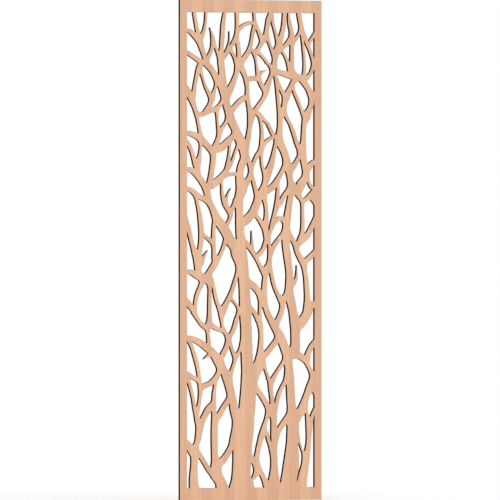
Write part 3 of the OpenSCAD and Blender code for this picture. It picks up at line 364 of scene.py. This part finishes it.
def beech_face(name, base, wood):
    """Steamed beech, edge-glued and sanded fine, unvarnished: an even peach brown with faint
    rings that run up the board, short darker ray flecks and a soft matt face. The rings are
    drawn round a heart of their own for each stave, so ends and edges show them too."""
    material, tree, output = new_material(name)
    x, y, z = own_place(tree)

    # Which stave this is, and three numbers of its own
    across = add_node(
        tree,
        "ShaderNodeMath",
        {0: x, 1: 1 / STAVE_WIDTH, 2: BOARD_WIDTH / 2 / STAVE_WIDTH},
        operation="MULTIPLY_ADD",
    )
    index = add_node(tree, "ShaderNodeMath", {0: across}, operation="FLOOR")
    seed = add_node(tree, "ShaderNodeMath", {0: index, 1: 0.37}, operation="ADD")
    lot = add_node(tree, "ShaderNodeTexWhiteNoise", {"W": seed}, noise_dimensions="1D")
    drawn = add_node(tree, "ShaderNodeSeparateColor", {0: lot.outputs["Color"]})
    side, depth, slide = drawn.outputs
    # Up to 7 m along the tree, so that no two staves have the same stretch of grain
    z_own = add_node(tree, "ShaderNodeMath", {0: slide, 1: 7.0, 2: z}, operation="MULTIPLY_ADD")
    place = (x, y, z_own)

    # Distance from the heart of the tree, which lies 20 to 70 mm behind the middle of the board
    # and up to 45 mm to either side of the stave's own middle
    centre = add_node(
        tree,
        "ShaderNodeMath",
        {0: index, 1: STAVE_WIDTH, 2: (STAVE_WIDTH - BOARD_WIDTH) / 2},
        operation="MULTIPLY_ADD",
    )
    from_centre = add_node(tree, "ShaderNodeMath", {0: x, 1: centre}, operation="SUBTRACT")
    squares = []
    for here, draw, span, start in (
        (from_centre, side, 90 * MM, -45 * MM),
        (y, depth, 50 * MM, 20 * MM),
    ):
        heart = add_node(
            tree, "ShaderNodeMath", {0: draw, 1: span, 2: start}, operation="MULTIPLY_ADD"
        )
        away = add_node(tree, "ShaderNodeMath", {0: here, 1: heart}, operation="SUBTRACT")
        squares.append(add_node(tree, "ShaderNodeMath", {0: away, 1: away}, operation="MULTIPLY"))
    total = add_node(tree, "ShaderNodeMath", dict(enumerate(squares)), operation="ADD")
    straight = add_node(tree, "ShaderNodeMath", {0: total}, operation="SQRT")
    # The rings wander by up to 24 mm along the board
    wander = patches(tree, place, (70 * MM, 70 * MM, 420 * MM), detail=1.0)
    radius = add_node(
        tree, "ShaderNodeMath", {0: wander, 1: 24 * MM, 2: straight}, operation="MULTIPLY_ADD"
    )
    # Each ring darkens slowly, then ends at a sharper line
    rings = add_node(tree, "ShaderNodeMath", {0: radius, 1: wood.ring_gap}, operation="DIVIDE")
    year = add_node(tree, "ShaderNodeMath", {0: rings}, operation="FRACT")
    late = add_node(tree, "ShaderNodeMath", {0: year, 1: 3.0}, operation="POWER")
    winter = add_node(
        tree,
        "ShaderNodeMapRange",
        {0: year, 1: 1.0, 2: 0.93},
        interpolation_type="SMOOTHSTEP",
    )
    ring = add_node(tree, "ShaderNodeMath", {0: late, 1: winter}, operation="MULTIPLY")

    # Soft streaks 5 mm wide, fibre 0.7 mm wide and steamed patches 38 mm wide
    streaks = patches(tree, place, (5 * MM, 5 * MM, 260 * MM), 3.0, 3.1, 0.6)
    fibre = patches(tree, place, (0.7 * MM, 0.7 * MM, 26 * MM), 2.0, 9.7, 0.6)
    steamed = patches(tree, place, (38 * MM, 38 * MM, 90 * MM), 2.0, 5.3)
    # Ray flecks are 0.2 mm wide in the tree; they are drawn 0.8 mm wide so that they show
    rays = patches(tree, place, (0.8 * MM, 0.8 * MM, 4.5 * MM), 1.0, 1.9)
    # A glue line 0.25 mm wide
    nearest = add_node(tree, "ShaderNodeMath", {0: across}, operation="ROUND")
    beside = add_node(tree, "ShaderNodeMath", {0: across, 1: nearest}, operation="SUBTRACT")
    to_joint = add_node(tree, "ShaderNodeMath", {0: beside}, operation="ABSOLUTE")

    # How much of each is seen: from none at the first value of the pattern to the full share at
    # the second
    shares = [
        add_node(
            tree,
            "ShaderNodeMapRange",
            {0: pattern, 1: none, 2: full, 4: most},
            interpolation_type="SMOOTHSTEP",
        )
        for pattern, none, full, most in (
            (steamed, 0.5, 0.75, 0.28),
            (streaks, 0.35, 0.7, 0.24),
            (fibre, 0.4, 0.8, 0.16),
            (rays, 0.64, 0.72, 1.0),
            (to_joint, 0.25 * MM / 2 / STAVE_WIDTH, 0.1 * MM / 2 / STAVE_WIDTH, 1.0),
        )
    ]
    pink, streak, fine, flecks, line = shares
    ring_share, fleck_share, glue_share = (
        add_node(tree, "ShaderNodeMath", {0: pattern, 1: strength}, operation="MULTIPLY")
        for pattern, strength in ((ring, wood.ring_strength), (flecks, 0.3), (line, 0.7))
    )
    colour = layered(
        tree,
        base,
        (
            (pink, wood.blush),
            (streak, wood.late_wood),
            (ring_share, wood.late_wood),
            (fine, wood.late_wood),
            (fleck_share, wood.fleck),
            (glue_share, wood.glue),
        ),
    )

    # Sanding leaves the fibre a little proud and the harder flecks a little low
    low = add_node(tree, "ShaderNodeMath", {0: flecks, 1: 0.4}, operation="MULTIPLY")
    relief = add_node(tree, "ShaderNodeMath", {0: fibre, 1: low}, operation="SUBTRACT")
    bump = add_node(
        tree, "ShaderNodeBump", {"Strength": 0.35, "Distance": 0.12 * MM, "Height": relief}
    )
    gloss = add_node(
        tree,
        "ShaderNodeMapRange",
        {0: fibre, 1: 0.3, 2: 0.75, 3: 0.56, 4: 0.68},
        interpolation_type="SMOOTHSTEP",
    )
    surface = add_node(
        tree,
        "ShaderNodeBsdfPrincipled",
        {
            "Base Color": colour,
            "Roughness": gloss,
            "IOR": 1.5,
            "Specular IOR Level": 0.35,
            "Normal": bump,
        },
    )
    tree.links.new(surface.outputs[0], output.inputs[0])
    return material


def scorched_wall(name, cut):
    """Beech cut by heat: dry brown char, streaked straight through the thickness by the
    cutter, with blacker and redder stretches, and no shine."""
    material, tree, output = new_material(name)
    place = own_place(tree)
    # Streaks 1.1 mm wide across the thickness, stretches 45 mm long and a crust of 0.5 mm grains
    streaks = patches(tree, place, (1.1 * MM, 40 * MM, 1.1 * MM), 2.0, 2.3, 0.6)
    stretches = patches(tree, place, (45 * MM, 60 * MM, 45 * MM), 2.0, 6.1)
    crust = patches(tree, place, (0.5 * MM, 0.5 * MM, 0.5 * MM), 2.0, 4.7)
    streaked, stretched = (
        add_node(
            tree,
            "ShaderNodeMapRange",
            {0: pattern, 1: low, 2: high, 4: most},
            interpolation_type="SMOOTHSTEP",
        )
        for pattern, low, high, most in ((streaks, 0.3, 0.7, 0.55), (stretches, 0.35, 0.65, 0.45))
    )
    share = add_node(tree, "ShaderNodeMath", {0: streaked, 1: stretched}, operation="ADD")
    relief = add_node(
        tree, "ShaderNodeMath", {0: crust, 1: 0.4, 2: streaks}, operation="MULTIPLY_ADD"
    )
    bump = add_node(
        tree, "ShaderNodeBump", {"Strength": 0.5, "Distance": 0.2 * MM, "Height": relief}
    )
    dryness = add_node(
        tree,
        "ShaderNodeMapRange",
        {0: streaks, 1: 0.3, 2: 0.7, 3: 0.86, 4: 0.95},
        interpolation_type="SMOOTHSTEP",
    )
    surface = add_node(
        tree,
        "ShaderNodeBsdfPrincipled",
        {
            "Base Color": layered(tree, cut.char, ((share, cut.scorch),)),
            "Roughness": dryness,
            "IOR": 1.5,
            "Specular IOR Level": 0.0,
            "Normal": bump,
        },
    )
    tree.links.new(surface.outputs[0], output.inputs[0])
    return material


def singed_arris(name, cut):
    """The softened edge: sanding has taken most of the char off it, which leaves a narrow
    toasted line, darker where the cutter was slow."""
    material, tree, output = new_material(name)
    place = own_place(tree)
    slow = patches(tree, place, (30 * MM, 30 * MM, 30 * MM), 2.0, 8.3)
    grit = patches(tree, place, (0.9 * MM, 0.9 * MM, 0.9 * MM), 2.0, 3.9)
    lingering, gritty = (
        add_node(
            tree,
            "ShaderNodeMapRange",
            {0: pattern, 1: low, 2: high, 4: most},
            interpolation_type="SMOOTHSTEP",
        )
        for pattern, low, high, most in ((slow, 0.4, 0.7, 0.4), (grit, 0.35, 0.7, 0.3))
    )
    share = add_node(tree, "ShaderNodeMath", {0: lingering, 1: gritty}, operation="ADD")
    surface = add_node(
        tree,
        "ShaderNodeBsdfPrincipled",
        {
            "Base Color": layered(tree, cut.singe, ((share, cut.scorch),)),
            "Roughness": 0.7,
            "IOR": 1.5,
            "Specular IOR Level": 0.1,
        },
    )
    tree.links.new(surface.outputs[0], output.inputs[0])
    return material


def kept_material(name, maker, *details):
    """The named material, made the first time that it is asked for."""
    return bpy.data.materials.get(name) or maker(name, *details)


# Staves


def pick_only(thing):
    """Makes thing the one selected and active object."""
    bpy.ops.object.select_all(action="DESELECT")
    thing.select_set(True)
    bpy.context.view_layer.objects.active = thing


def is_face(polygon):
    """Whether a polygon lies in the front or the back of the board."""
    return abs(polygon.normal.y) > FACING


def is_glued(polygon, joints):
    """Whether a polygon lies in the glue plane between two staves."""
    middle = polygon.calc_center_median().x
    return abs(polygon.normal.x) > SQUARE_ON and min(abs(middle - j) for j in joints) < ON_LINE


def in_plane(edge, y):
    """Whether an edge lies in the front or the back plane of the board, at depth y."""
    return all(abs(v.co.y - y) < ON_FACE for v in edge.verts)


def plain_line(edge, joints):
    """Whether an edge follows the board's outline, the border's straight inner edges or a
    glue joint, which all stay as they are."""
    upright = [*joints, CAD_LOW[0], CAD_HIGH[0], CAD_LOW[0] + SIDE_STRIP, CAD_HIGH[0] - SIDE_STRIP]
    level = [CAD_LOW[2], CAD_HIGH[2], CAD_LOW[2] + RAIL, CAD_HIGH[2] - RAIL]
    return any(
        all(abs(vert.co[axis] - line) < ON_LINE for vert in edge.verts)
        for axis, lines in ((0, upright), (2, level))
        for line in lines
    )


def select_faces(mesh, wanted):
    """Selects the polygons for which wanted says yes, and no other."""
    shell = bmesh.from_edit_mesh(mesh)
    for polygon in shell.faces:
        polygon.select = wanted(polygon)
    shell.select_flush_mode()
    bmesh.update_edit_mesh(mesh)


def select_edges(mesh, wanted):
    """Selects the edges for which wanted says yes, and no other."""
    shell = bmesh.from_edit_mesh(mesh)
    for edge in shell.edges:
        edge.select = wanted(edge)
    shell.select_flush_mode()
    bmesh.update_edit_mesh(mesh)


def is_long(edge, joints, longest):
    """Whether an edge is longer than longest, on a branch's wall, in the front or the back."""
    return (
        edge.calc_length() > longest
        and (in_plane(edge, CAD_LOW[1]) or in_plane(edge, CAD_HIGH[1]))
        and len(edge.link_faces) == 1
        and len(edge.link_faces[0].verts) == 4
        and not plain_line(edge, joints)
    )


def split_long_edges(mesh, joints, longest):
    """Cuts the walls of the branches into steps that are seldom longer than longest."""
    # The longest are cut into four, then what is still long into three, then into two
    for cuts in (3, 2, 1):
        select_edges(mesh, lambda edge: is_long(edge, joints, cuts * longest))
        bpy.ops.mesh.subdivide(number_cuts=cuts)


def spot(vert):
    """Where a corner is across and up the board, to a hundredth of a millimetre, which is the
    same for the front and the back end of an edge that runs straight through the board."""
    return round(vert.co.x, 5), round(vert.co.z, 5)


def front_rings(shell):
    """The front edge of every wall, as closed rings of vertices in order."""
    waiting = {edge for edge in shell.edges if in_plane(edge, CAD_LOW[1])}
    rings = []
    while waiting:
        edge = min(waiting, key=lambda e: e.index)
        waiting.remove(edge)
        ring = [edge.verts[0]]
        vert = edge.verts[1]
        while vert is not ring[0]:
            ring.append(vert)
            onward = [e for e in vert.link_edges if e in waiting]
            if not onward:
                raise RuntimeError("an edge of the fretwork is not closed")
            edge = min(onward, key=lambda e: e.index)
            waiting.remove(edge)
            vert = edge.other_vert(vert)
        rings.append(ring)
    return rings


def evened_ring(points, fixed, sweep):
    """The places of a ring's points once kinks are evened out over a distance of sweep to
    either side. Fixed points and true corners stay, and nothing is evened across them. A ring
    without either is evened over at most a quarter of its length to either side."""
    count = len(points)
    run = [0.0]
    for i in range(count):
        run.append(run[-1] + (points[(i + 1) % count] - points[i]).length)
    whole = run[-1]

    def at(distance):
        distance %= whole
        i = min(bisect.bisect_right(run, distance) - 1, count - 1)
        share = (distance - run[i]) / max(run[i + 1] - run[i], TINY)
        return points[i].lerp(points[(i + 1) % count], share)

    held = []
    for i, point in enumerate(points):
        before = point - at(run[i] - CORNER_REACH)
        after = at(run[i] + CORNER_REACH) - point
        corner = min(before.length, after.length) < TINY or before.angle(after) > CORNER_ANGLE
        if fixed[i] or corner:
            held.append(run[i])
    evened = []
    for i, point in enumerate(points):
        gaps = [abs(run[i] - h) for h in held]
        room = min((min(gap, whole - gap) for gap in gaps), default=whole / 4)
        window = min(sweep, room)
        if window < LEAST_SWEEP:
            evened.append(point.copy())
            continue
        total = Vector((0, 0, 0))
        weights = 0.0
        for k in range(-SWEEP_PLACES, SWEEP_PLACES + 1):
            weight = math.exp(-SWEEP_FALL * (k / SWEEP_PLACES) ** 2)
            total += weight * at(run[i] + window * k / SWEEP_PLACES)
            weights += weight
        evened.append(total / weights)
    return evened


def draw_to_joint(ring, places, fixed, joints, reach):
    """Where a ring runs into a glue joint at a slant, draws its points that are closer to the
    joint than reach to the point where it meets the joint, so that no sliver is left."""
    for i, vert in enumerate(ring):
        for joint in joints:
            if abs(vert.co.x - joint) > ON_LINE:
                continue
            for way in (1, -1):
                k = (i + way) % len(ring)
                while not fixed[k] and abs(places[k].x - joint) < reach:
                    places[k] = vert.co.copy()
                    k = (k + way) % len(ring)


def draw_together(places, fixed, reach):
    """Gives points of a ring that are closer together than reach one place."""
    for order in (range(len(places)), range(len(places) - 1, -1, -1)):
        before = order[-1]
        for i in order:
            if not fixed[i] and (places[i] - places[before]).length < reach:
                places[i] = places[before].copy()
            before = i


def even_out(mesh, joints, strip, cut):
    """Takes the kinks out of the cutter's path, alike in front and behind."""
    shell = bmesh.from_edit_mesh(mesh)
    shell.verts.index_update()
    shell.edges.index_update()
    back = {spot(v): v for v in shell.verts if abs(v.co.y - CAD_HIGH[1]) < ON_FACE}
    reach = ARRIS_ROOM * cut.arris_width
    moves = []
    for ring in front_rings(shell):
        partners = [back.get(spot(v)) for v in ring]
        fixed = [
            partner is None
            or any(in_plane(e, CAD_LOW[1]) and plain_line(e, joints) for e in vert.link_edges)
            for vert, partner in zip(ring, partners)
        ]
        points = [vert.co.copy() for vert in ring]
        places = evened_ring(points, fixed, cut.sweep)
        for place in places:
            place.x = min(max(place.x, strip[0]), strip[1])
        draw_to_joint(ring, places, fixed, joints, reach)
        draw_together(places, fixed, reach)
        for vert, partner, held, place in zip(ring, partners, fixed, places):
            if not held:
                moves += ((vert, place.x, place.z), (partner, place.x, place.z))
    for vert, x, z in moves:
        vert.co.x, vert.co.z = x, z
    bmesh.update_edit_mesh(mesh)
    bpy.ops.mesh.select_all(action="SELECT")
    bpy.ops.mesh.remove_doubles(threshold=SAME_POINT)


def copy_solid(name, materials):
    """A copy of one stave's solid, to be finished, with its materials in the order of slots."""
    solid = frame["nodes"][name]
    pick_only(solid)
    bpy.ops.object.duplicate()
    piece = bpy.context.view_layer.objects.active
    if piece is solid:
        raise RuntimeError("no copy was made of " + name)
    bpy.ops.object.parent_clear(type="CLEAR_KEEP_TRANSFORM")
    piece.name = name + "_wood"
    piece.data.name = piece.name
    piece.data.materials.clear()
    for material in materials:
        piece.data.materials.append(material)
    if piece.data.has_custom_normals:
        bpy.ops.mesh.customdata_custom_splitnormals_clear()
    return piece


def open_board(mesh):
    """Joins the loose triangles, makes every flat of a wall one polygon, and takes the front and
    the back off, so that only the walls are left."""
    bpy.ops.mesh.select_mode(type="EDGE")
    bpy.ops.mesh.select_all(action="SELECT")
    bpy.ops.mesh.remove_doubles(threshold=WELD)
    bpy.ops.mesh.select_mode(type="FACE")
    select_faces(mesh, lambda polygon: not is_face(polygon))
    bpy.ops.mesh.dissolve_limited(angle_limit=SAME_FLAT)
    bpy.ops.mesh.select_all(action="DESELECT")
    select_faces(mesh, is_face)
    bpy.ops.mesh.delete(type="FACE")
    bpy.ops.mesh.select_mode(type="EDGE")


def close_board(mesh):
    """Fills the front and the back again, between the evened walls."""
    for y in (CAD_LOW[1], CAD_HIGH[1]):
        select_edges(mesh, lambda edge: in_plane(edge, y))
        bpy.ops.mesh.fill(use_beauty=True)
    bpy.ops.mesh.select_all(action="SELECT")
    bpy.ops.mesh.normals_make_consistent(inside=False)
    bpy.ops.mesh.select_all(action="DESELECT")
    shell = bmesh.from_edit_mesh(mesh)
    for polygon in shell.faces:
        polygon.material_index = FACE if is_face(polygon) else WALL


def soften_edges(mesh, joints, cut):
    """Bevels every edge between a face and a wall, but not where two staves are glued."""

    def sanded(edge):
        sides = edge.link_faces
        return (
            len(sides) == 2
            and is_face(sides[0]) != is_face(sides[1])
            and not any(is_glued(side, joints) for side in sides)
        )

    select_edges(mesh, sanded)
    bpy.ops.mesh.bevel(
        offset=cut.arris_width,
        offset_type="OFFSET",
        segments=cut.arris_steps,
        profile=0.5,
        affect="EDGES",
        clamp_overlap=False,
        material=ARRIS,
    )


def finish_stave(name, wood_material):
    """A copy of one stave's solid with evened contours and softened, singed edges, put in the
    solid's place."""
    cut = bpy.context.scene.panel_cut
    piece = copy_solid(
        name,
        (
            wood_material,
            kept_material("beech wall, scorched by the cutter", scorched_wall, cut),
            kept_material("beech arris, sanded and singed", singed_arris, cut),
        ),
    )
    number = STAVES.index(name)
    strip = [CAD_LOW[0] + i * STAVE_WIDTH for i in (number, number + 1)]
    joints = [x for i, x in enumerate(strip, number) if 0 < i < len(STAVES)]

    bpy.ops.object.mode_set(mode="EDIT")
    open_board(piece.data)
    split_long_edges(piece.data, joints, cut.step)
    even_out(piece.data, joints, strip, cut)
    close_board(piece.data)
    soften_edges(piece.data, joints, cut)
    bpy.ops.object.mode_set(mode="OBJECT")
    bpy.ops.object.shade_smooth_by_angle(angle=CURVE_STEP)

    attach(piece, "root")
    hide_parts(name)


def finish_group(slot, wood_material):
    """Every stave whose solid takes its finish from slot."""
    names = [
        part["node"]
        for part in frame["record"]["subparts"]
        if part["material_slot"] == slot and part["node"] in STAVES
    ]
    if not names:
        raise RuntimeError("no stave takes its finish from " + slot)
    for name in names:
        finish_stave(name, wood_material)


class FRETWORK_OT_dark_staves(bpy.types.Operator):
    """Finish the darker staves, which are every other one from either side"""

    bl_idname = "fretwork.dark_staves"
    bl_label = "Dark Staves"
    bl_options = {"REGISTER", "UNDO"}

    def execute(self, context):
        wood = context.scene.panel_wood
        finish_group(
            DARK_SLOT,
            kept_material("steamed beech, darker stave, sanded", beech_face, wood.dark_wood, wood),
        )
        return {"FINISHED"}


class FRETWORK_OT_pale_staves(bpy.types.Operator):
    """Finish the paler staves, which stand between the darker ones"""

    bl_idname = "fretwork.pale_staves"
    bl_label = "Pale Staves"
    bl_options = {"REGISTER", "UNDO"}

    def execute(self, context):
        wood = context.scene.panel_wood
        finish_group(
            PALE_SLOT,
            kept_material("steamed beech, paler stave, sanded", beech_face, wood.pale_wood, wood),
        )
        return {"FINISHED"}


# Stage


def seen_directly(tree):
    """1 for what the camera sees, also in gloss and through glass, and 0 for light."""
    path = add_node(tree, "ShaderNodeLightPath").outputs
    seen = add_node(
        tree,
        "ShaderNodeMath",
        {0: path["Is Camera Ray"], 1: path["Is Glossy Ray"]},
        operation="ADD",
    )
    return add_node(
        tree,
        "ShaderNodeMath",
        {0: seen, 1: path["Is Transmission Ray"]},
        operation="ADD",
        use_clamp=True,
    )


def pale_floor(name, colour, glow):
    """Matt white studio board: a plain even pale floor that keeps a soft shadow."""
    material, tree, output = new_material(name)
    grain = add_node(
        tree,
        "ShaderNodeTexNoise",
        {
            "Vector": add_node(tree, "ShaderNodeTexCoord").outputs["Object"],
            "Scale": 1 / (40 * MM),
            "Detail": 2.0,
        },
    )
    roughness = add_node(
        tree,
        "ShaderNodeMapRange",
        {0: grain, 1: 0.3, 2: 0.7, 3: 0.78, 4: 0.84},
        interpolation_type="SMOOTHSTEP",
    )
    shine = add_node(
        tree, "ShaderNodeMath", {0: seen_directly(tree), 1: glow}, operation="MULTIPLY"
    )
    surface = add_node(
        tree,
        "ShaderNodeBsdfPrincipled",
        {
            "Base Color": opaque(colour),
            "Roughness": roughness,
            "Specular IOR Level": 0.2,
            "Emission Color": (1, 1, 1, 1),
            "Emission Strength": shine,
        },
    )
    tree.links.new(surface.outputs[0], output.inputs[0])
    return material


def light_sky(strength):
    """Even light from all round, seen as plain white by the camera and in reflections."""
    world = bpy.data.worlds.new("studio sky")
    bpy.context.scene.world = world
    world.use_nodes = True
    tree = world.node_tree
    tree.nodes.clear()
    white = add_node(
        tree,
        "ShaderNodeMath",
        {0: seen_directly(tree), 1: 1 - strength, 2: strength},
        operation="MULTIPLY_ADD",
    )
    sky = add_node(tree, "ShaderNodeBackground", {"Color": (1, 1, 1, 1), "Strength": white})
    add_node(tree, "ShaderNodeOutputWorld", {0: sky})


def aim(thing, target):
    """Turns a lamp or camera so that it looks at target, level with the horizon."""
    thing.rotation_euler = (Vector(target) - thing.location).to_track_quat("-Z", "Y").to_euler()


def soft_lamp(name, place, target, power):
    """A square softbox."""
    bpy.ops.object.select_all(action="DESELECT")
    bpy.ops.object.light_add(type="AREA", location=place)
    lamp = bpy.context.view_layer.objects.active
    lamp.name = name
    lamp.data.name = name
    lamp.data.shape = "SQUARE"
    lamp.data.size = SOFTBOX_SIZE
    lamp.data.energy = power
    aim(lamp, target)


class FRETWORK_OT_stage(bpy.types.Operator):
    """Set the pale floor, the soft light and the camera"""

    bl_idname = "fretwork.stage"
    bl_label = "Stage"
    bl_options = {"REGISTER", "UNDO"}

    def execute(self, context):
        stage = context.scene.panel_stage
        bpy.ops.object.select_all(action="DESELECT")
        # The floor is turned with the camera, so that its far edge is level in the picture, and
        # is 2 m wide before it is scaled, so that its scale is half its width
        bpy.ops.mesh.primitive_plane_add(
            size=2, location=(0, 0, CAD_LOW[2]), rotation=(0, 0, -stage.turn)
        )
        floor = context.view_layer.objects.active
        floor.name = "studio_floor"
        floor.scale = (stage.floor_depth + BOARD_WIDTH, stage.floor_depth, 1)
        bpy.ops.object.transform_apply(location=True, rotation=True, scale=True)
        floor.data.materials.append(
            kept_material("white studio board", pale_floor, stage.floor, stage.floor_glow)
        )
        floor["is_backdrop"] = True

        light_sky(stage.sky)
        middle = (0, 0, BOARD_HEIGHT / 2)
        for name, (x, y, share) in SOFTBOXES.items():
            soft_lamp(name, (x, y, SOFTBOX_HEIGHT), middle, stage.lamp * share)

        bpy.ops.object.select_all(action="DESELECT")
        # The picture is as tall and as wide as the board is tall, at the board
        look = Vector((math.sin(stage.turn), math.cos(stage.turn), 0))
        right, back, up = AIM_OFFSET
        target = Vector((right, back, BOARD_HEIGHT / 2 + up))
        bpy.ops.object.camera_add(location=target - look * stage.distance)
        camera = context.view_layer.objects.active
        camera.name = "camera"
        aim(camera, target)
        camera.data.sensor_width = SENSOR
        camera.data.lens = SENSOR * stage.distance / BOARD_HEIGHT
        camera.data.clip_end = SIGHT
        context.scene.camera = camera
        context.scene.view_settings.view_transform = "Standard"
        return {"FINISHED"}


class FRETWORK_PT_sidebar(bpy.types.Panel):
    """Lists the steps and their settings"""

    bl_label = "Fretwork Panel"
    bl_idname = "FRETWORK_PT_sidebar"
    bl_space_type = "VIEW_3D"
    bl_region_type = "UI"
    bl_category = "Fretwork"

    def draw(self, context):
        scene = context.scene
        for title, group, steps in (
            ("Board", scene.panel_wood, (FRETWORK_OT_dark_staves, FRETWORK_OT_pale_staves)),
            ("Cut", scene.panel_cut, ()),
            ("Stage", scene.panel_stage, (FRETWORK_OT_stage,)),
        ):
            box = self.layout.box()
            box.label(text=title)
            for name in group.bl_rna.properties.keys():
                if name not in ("rna_type", "name"):
                    box.prop(group, name)
            for operator in steps:
                box.operator(operator.bl_idname)


CLASSES = (
    WoodSettings,
    CutSettings,
    StageSettings,
    FRETWORK_OT_dark_staves,
    FRETWORK_OT_pale_staves,
    FRETWORK_OT_stage,
    FRETWORK_PT_sidebar,
)


def register():
    """Makes the settings, steps and panel known, and hangs the settings on the scene."""
    for cls in CLASSES:
        bpy.utils.register_class(cls)
    bpy.types.Scene.panel_wood = PointerProperty(type=WoodSettings)
    bpy.types.Scene.panel_cut = PointerProperty(type=CutSettings)
    bpy.types.Scene.panel_stage = PointerProperty(type=StageSettings)


def unregister():
    """Takes back what register did."""
    del bpy.types.Scene.panel_wood
    del bpy.types.Scene.panel_cut
    del bpy.types.Scene.panel_stage
    for cls in reversed(CLASSES):
        bpy.utils.unregister_class(cls)


def main():
    """Builds the whole scene."""
    register()
    bpy.ops.fretwork.dark_staves()
    bpy.ops.fretwork.pale_staves()
    bpy.ops.fretwork.stage()


if __name__ == "__main__":
    main()
